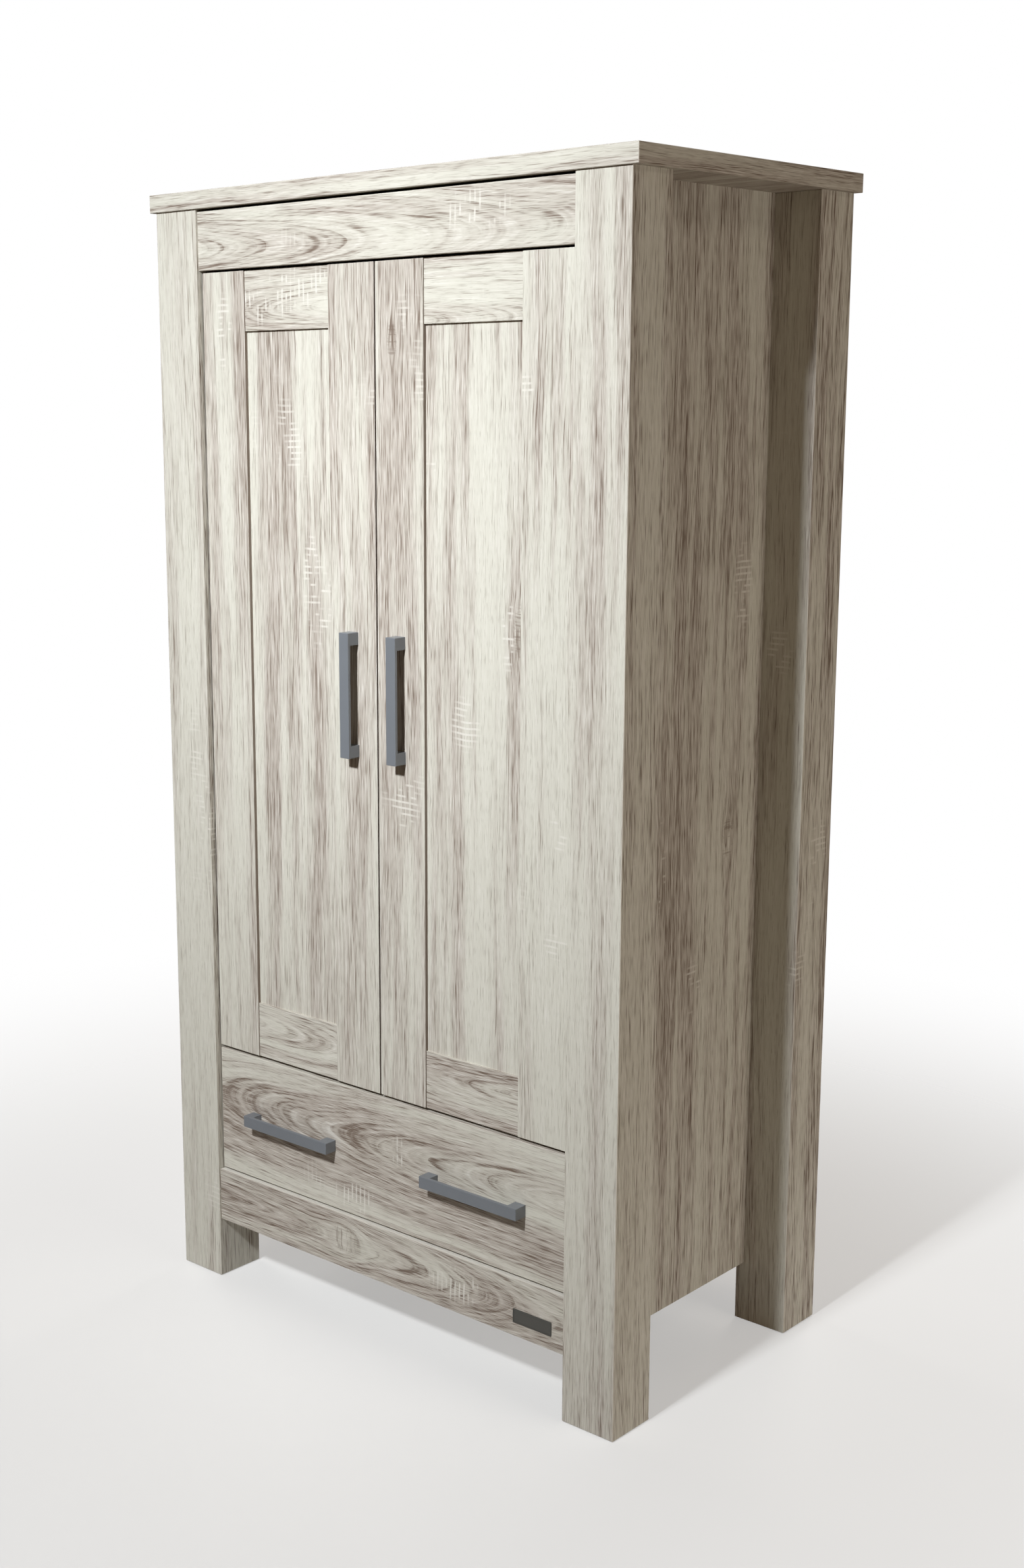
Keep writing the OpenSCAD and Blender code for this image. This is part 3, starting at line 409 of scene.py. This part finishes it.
# Each board's axes, its pith as two fractions of the board and a taper, and its looks
BOARDS = {
    "top_panel": dict(axes=FLAT, pith=(1.4, 0.4, 0.05), tint=0.35),
    "front_left_post": dict(
        axes=UPRIGHT, edge_crisp=0.8, pith=(-2.5, 0.3, 0.05), tint=-0.2, contrast=0.7,
    ),
    "front_right_post": dict(
        axes=UPRIGHT, edge_crisp=0.8, pith=(2.9, 0.6, 0.05), tint=-0.1, contrast=0.8,
    ),
    "rear_left_post": dict(axes=UPRIGHT, edge_crisp=0.8, pith=(-1.0, 0.5, 0.05)),
    "rear_right_post": dict(
        axes=UPRIGHT, edge_crisp=0.8, pith=(2.2, 0.5, 0.05),
        marks=[(1.6, 0.45, 0.03, 0.05), (0.5, 0.62, 0.03, 0.05)],
    ),
    "left_side_panel": dict(axes=SIDE_UPRIGHT, pith=(1.5, 0.6, 0.04), crisp=1.4, contrast=1.2),
    "right_side_panel": dict(
        axes=SIDE_UPRIGHT, pith=(1.5, -0.5, 0.04), crisp=1.35, contrast=1.15, rings=0.25,
        marks=[
            (0.06, 0.60, 0.020, 0.045), (0.85, 0.66, 0.030, 0.080), (0.30, 0.42, 0.020, 0.090),
            (0.55, 0.30, 0.030, 0.050),
        ],
        knots=[(0.78, 0.43, 0.020, 0.040)],
    ),
    "top_rail": dict(
        axes=SIDEWAYS, pith=(0.35, -0.5, 0.07), rings=0.9, tint=-0.02,
        marks=[(0.62, 0.76, 0.035, 0.085)],
    ),
    # The rail's up and down faces get saw-mark cream as a painted highlight on its top ledge
    "bottom_rail": dict(
        axes=SIDEWAYS, pith=(0.5, -0.1, 0.08), tint=0.3, rings=0.9, edge_shade_and_highlight=0.8, edge=SAW_AND_HIGHLIGHT_CREAM,
        marks=[(0.5, 0.72, 0.035, 0.07)], knots=[(0.55, 0.40, 0.030, 0.035)],
    ),
    "drawer_front": dict(
        axes=SIDEWAYS, pith=(0.62, 1.3, 0.08), contrast=1.1, tint=0.15, rings=1.2,
        marks=[(0.14, 0.42, 0.03, 0.06), (0.62, 0.55, 0.03, 0.02)],
    ),
    # The stiles carry painted shade on their narrow faces, in the door gap and the panel recess
    "left_hinge_stile": dict(
        axes=UPRIGHT, edge_shade_and_highlight=0.8, pith=(-0.8, 0.3, 0.05), tint=0.1,
        marks=[(0.5, 0.93, 0.022, 0.075)],
    ),
    "left_lock_stile": dict(axes=UPRIGHT, edge_shade_and_highlight=0.8, pith=(1.7, 0.5, 0.04), tint=0.1),
    "left_door_top_rail": dict(axes=SIDEWAYS, pith=(0.3, 1.6, 0.10), rings=0.8, tint=-0.08),
    "left_door_bottom_rail": dict(axes=SIDEWAYS, pith=(0.6, -0.8, 0.10), tint=0.1, rings=0.8),
    "left_door_panel": dict(
        axes=UPRIGHT, pith=(1.7, -0.4, 0.03), tint=0.05, contrast=1.1,
        marks=[(0.72, 0.66, 0.022, 0.08)],
    ),
    # The stiles carry painted shade on their narrow faces, in the door gap and the panel recess
    "right_hinge_stile": dict(
        axes=UPRIGHT, edge_shade_and_highlight=0.8, pith=(1.5, 0.5, 0.05), tint=-0.28,
        marks=[(0.75, 0.37, 0.02, 0.035), (0.75, 0.24, 0.03, 0.025), (0.1, 0.86, 0.025, 0.02)],
    ),
    "right_lock_stile": dict(
        axes=UPRIGHT, edge_shade_and_highlight=0.8, pith=(-1.6, 0.5, 0.05), tint=0.2,
        knots=[(0.35, 0.91, 0.012, 0.035)],
    ),
    "right_door_top_rail": dict(axes=SIDEWAYS, pith=(0.1, -0.5, 0.10), rings=0.8, tint=-0.08),
    "right_door_bottom_rail": dict(axes=SIDEWAYS, pith=(0.7, 1.6, 0.10), tint=0.1, rings=0.8),
    "right_door_panel": dict(
        axes=UPRIGHT, pith=(1.25, 0.6, 0.035), tint=-0.22,
        marks=[(0.42, 0.475, 0.035, 0.05), (0.82, 0.60, 0.015, 0.07), (0.05, 0.81, 0.02, 0.02)],
        knots=[(0.95, 0.605, 0.020, 0.050)],
    ),
    "rear_top_rail": dict(axes=SIDEWAYS, pith=(0.5, 0.3, 0.1), **PALE_INSIDE),
    "rear_bottom_rail": dict(axes=SIDEWAYS, pith=(0.5, 0.6, 0.1), **PALE_INSIDE),
    "cupboard_floor": dict(axes=FLAT, pith=(0.5, 0.6, 0.05), **PALE_INSIDE),
    "bottom_panel": dict(axes=FLAT, pith=(0.4, 0.4, 0.05), **PALE_INSIDE),
    "upper_shelf": dict(axes=FLAT, pith=(0.6, 0.4, 0.05), **PALE_INSIDE),
    "drawer_left_side": dict(axes=SIDE_LEVEL, pith=(0.6, 0.4, 0.1), **PALE_INSIDE),
    "drawer_right_side": dict(axes=SIDE_LEVEL, pith=(0.4, 0.6, 0.1), **PALE_INSIDE),
    "drawer_back": dict(axes=SIDEWAYS, pith=(0.4, 0.6, 0.1), **PALE_INSIDE),
    "left_back_panel": dict(axes=UPRIGHT, pith=(0.4, 0.6, 0.05), **PALE_BACK),
    "right_back_panel": dict(axes=UPRIGHT, pith=(0.7, 0.4, 0.05), **PALE_BACK),
    "drawer_base": dict(axes=FLAT, pith=(0.5, 0.5, 0.05), **PALE_BACK),
    "post_end_blocks": dict(axes=UPRIGHT, pith=(0.5, 0.5, 0.05), **BARE_WOOD),
    "carcass_dowels": dict(axes=UPRIGHT, pith=(0.5, 0.5, 0.05), **BARE_WOOD),
}


def paint(node, material):
    mesh = NODES[node].data
    mesh.materials.clear()
    mesh.materials.append(material)


SAME_PLACE = 0.00001     # metres, within which two corners count as one


def round_edges(node, width, segments=3, corner_axis=None, other_share=1.0):
    """Rounds a CAD node's outer edges with modifiers, which leave its own mesh alone. Only
    the edges that lie along its bounding box are rounded, not the rims of its bores. With a
    corner axis, the edges along it get the whole width and the others a share of it."""
    piece = NODES[node]
    mesh = piece.data
    corners = [v.co for v in mesh.vertices]
    limits = [
        (axis, pick(c[axis] for c in corners)) for axis in range(3) for pick in (min, max)
    ]

    def on_limits(corner):
        """The sides of the bounding box, as (axis, value), that a corner lies on."""
        return {limit for limit in limits if abs(corner[limit[0]] - limit[1]) < SAME_PLACE}

    weights = mesh.attributes.new("bevel_weight_edge", "FLOAT", "EDGE")
    for edge in mesh.edges:
        shared = set.intersection(*(on_limits(corners[v]) for v in edge.vertices))
        if len(shared) >= 2:
            is_corner = corner_axis not in (axis for axis, _ in shared)
            weights.data[edge.index].value = 1.0 if is_corner else other_share
    weld = piece.modifiers.new("weld", "WELD")
    weld.merge_threshold = SAME_PLACE
    flat = piece.modifiers.new("flat", "DECIMATE")
    flat.decimate_type = "DISSOLVE"
    flat.angle_limit = math.radians(1)
    bevel = piece.modifiers.new("bevel", "BEVEL")
    bevel.width = width
    bevel.segments = segments
    bevel.limit_method = "WEIGHT"
    bevel.use_clamp_overlap = False


FIRST_SEED, SEED_STEP = 11.0, 3.7
for number, (name, look) in enumerate(BOARDS.items()):
    board = dict(look)
    axes = board.pop("axes")
    *place, taper = board.pop("pith")
    board["pith"] = (on_board(name, axes, place), taper)
    for kind in ("marks", "knots"):
        board[kind] = spots(name, axes, board.get(kind, ()))
    paint(name, oak_material("oak_" + name, axes, FIRST_SEED + number * SEED_STEP, **board))

# Widths of the rounded edges, in metres
BOARD_ROUND, DOOR_ROUND, HANDLE_ROUND, BADGE_ROUND = 0.0012, 0.0007, 0.0009, 0.003
THICK_BOARDS = [
    "top_panel", "front_left_post", "front_right_post", "rear_left_post", "rear_right_post",
    "top_rail", "bottom_rail", "drawer_front",
]
DOOR_BOARDS = [
    f"{side}_{part}" for side in ("left", "right")
    for part in ("hinge_stile", "lock_stile", "door_top_rail", "door_bottom_rail")
]
for name in THICK_BOARDS:
    round_edges(name, BOARD_ROUND)
for name in DOOR_BOARDS:
    round_edges(name, DOOR_ROUND)

satin_grey = metal_material("satin_grey_lacquer", tone(126, 131, 137), 0.2, 0.36)
steel = metal_material("plated_steel", tone(190, 192, 194), 0.9, 0.32)
zinc = metal_material("die_cast_zinc", tone(166, 168, 170), 0.85, 0.42)
runner = metal_material("runner_steel", tone(176, 180, 182), 0.85, 0.36)
chrome = metal_material("rail_chrome", tone(205, 207, 210), 1.0, 0.14, 0.01)
pewter = metal_material("badge_pewter", tone(96, 96, 92), 0.5, 0.38, 0.08)
plastic = plastic_material("white_plastic", tone(226, 224, 218), 0.5)

FINISHES = {
    satin_grey: [
        "left_door_handle", "right_door_handle", "drawer_left_handle", "drawer_right_handle",
    ],
    steel: [
        "shelf_pins", "carcass_screws", "left_door_screws", "right_door_screws", "drawer_screws",
        "left_hinge_pins", "right_hinge_pins", "hinge_arms", "left_hinge_cups", "right_hinge_cups",
    ],
    zinc: ["cam_fittings", "hinge_plates"],
    runner: ["outer_runners", "left_middle_runner", "right_middle_runner", "inner_runners"],
    chrome: ["hanging_rail", "rail_sockets"],
    pewter: ["badge_plate"],
    plastic: ["back_joining_strip", "foot_glides", "door_bumpers"],
}
for material, names in FINISHES.items():
    for name in names:
        paint(name, material)
for name in FINISHES[satin_grey]:
    round_edges(name, HANDLE_ROUND)
round_edges("badge_plate", BADGE_ROUND, 5, corner_axis=1, other_share=0.16)


# ---------------------------------------------------------------- stage, lights and camera

WHITE = (1.0, 1.0, 1.0, 1.0)
SKY_COLOUR = (1.0, 0.68, 0.42, 1.0)
HIDDEN_FILL = (1.0, 0.96, 0.92)  # colour of the lamps on the sides that the photo hides
FLOOR_RADIUS = 6.0
FLOOR_STRENGTH = 0.6           # how solid the floor is under the object
FADE_FROM, FADE_TO = 0.5, 2.4  # metres from the middle, where the floor starts and ends fading


def make_floor():
    """A pale floor that fades into the white studio some way off."""
    bpy.ops.mesh.primitive_circle_add(vertices=96, radius=FLOOR_RADIUS, fill_type="NGON")
    floor = bpy.context.object
    floor.name = "floor"
    material, graph, shader = new_material("floor_paint")
    place = graph.node("ShaderNodeTexCoord").outputs["Object"]
    cloud = graph.speckle(place, 1.5, 4.0)
    paint_tone = graph.ramp(cloud, [(0.3, tone(240, 240, 239)), (0.7, tone(243, 243, 242))])
    graph.feed(shader.inputs["Base Color"], paint_tone)
    shader.inputs["Roughness"].default_value = 0.9
    shader.inputs["Specular IOR Level"].default_value = 0.1
    far = graph.node("ShaderNodeVectorMath", {0: place}, operation="LENGTH").outputs["Value"]
    graph.feed(shader.inputs["Alpha"], graph.step(far, FADE_TO, FADE_FROM, 0.0, FLOOR_STRENGTH))
    floor.data.materials.append(material)


def area_light(name, location, target, power, size, colour, spread=180.0):
    """A round lamp of so many watts and metres across, aimed at the target."""
    light = bpy.data.lights.new(name, "AREA")
    light.shape = "DISK"
    light.size = size
    light.energy = power
    light.color = colour
    light.spread = math.radians(spread)
    lamp = bpy.data.objects.new(name, light)
    lamp.location = location
    lamp.rotation_mode = "QUATERNION"
    lamp.rotation_quaternion = (Vector(target) - lamp.location).to_track_quat("-Z", "Y")
    SCENE.collection.objects.link(lamp)


def make_world():
    """A studio that the camera sees as white, and that lights the object dimly and warmly."""
    world = bpy.data.worlds.new("studio")
    world.use_nodes = True
    world.node_tree.nodes.clear()
    graph = Graph(world.node_tree)
    seen = graph.node("ShaderNodeLightPath").outputs["Is Camera Ray"]
    sky = graph.node("ShaderNodeBackground", {"Color": SKY_COLOUR, "Strength": 0.085})
    backdrop = graph.node("ShaderNodeBackground", {"Color": WHITE, "Strength": 1.0})
    both = graph.node("ShaderNodeMixShader", {0: seen, 1: sky.outputs[0], 2: backdrop.outputs[0]})
    output = graph.node("ShaderNodeOutputWorld")
    world.node_tree.links.new(both.outputs[0], output.inputs["Surface"])
    SCENE.world = world


def make_camera():
    """The camera as solved from the photo's straight edges."""
    data = bpy.data.cameras.new("camera")
    data.sensor_width = 36.0
    data.lens = 45.63
    data.shift_x = 0.085
    data.shift_y = 0.005
    camera = bpy.data.objects.new("camera", data)
    camera.location = (2.134, -2.550, 1.566)
    camera.rotation_euler = [math.radians(a) for a in (78.783, 0.451, 43.068)]
    SCENE.collection.objects.link(camera)
    SCENE.camera = camera


make_floor()
make_world()
area_light("key", (0.48, -3.75, 3.80), (-0.10, -0.29, 1.34), 24.5, 0.42, (0.94, 0.97, 1.0), 52.0)
area_light("side_fill", (3.4, 0.2, 0.9), (0.5, 0.0, 0.5), 23.5, 1.4, (1.0, 0.915, 0.81))
area_light("upper_fill", (3.3, -0.5, 3.6), (0.5, 0.0, 0.9), 6.5, 0.7, (1.0, 0.90, 0.78))
area_light("left_fill", (-3.2, 0.4, 1.7), (-0.5, 0.0, 0.9), 22.0, 1.4, HIDDEN_FILL)
area_light("rear_fill", (-0.6, 3.4, 2.0), (0.0, 0.3, 0.9), 30.0, 1.4, HIDDEN_FILL)
make_camera()
SCENE.view_settings.view_transform = "Standard"
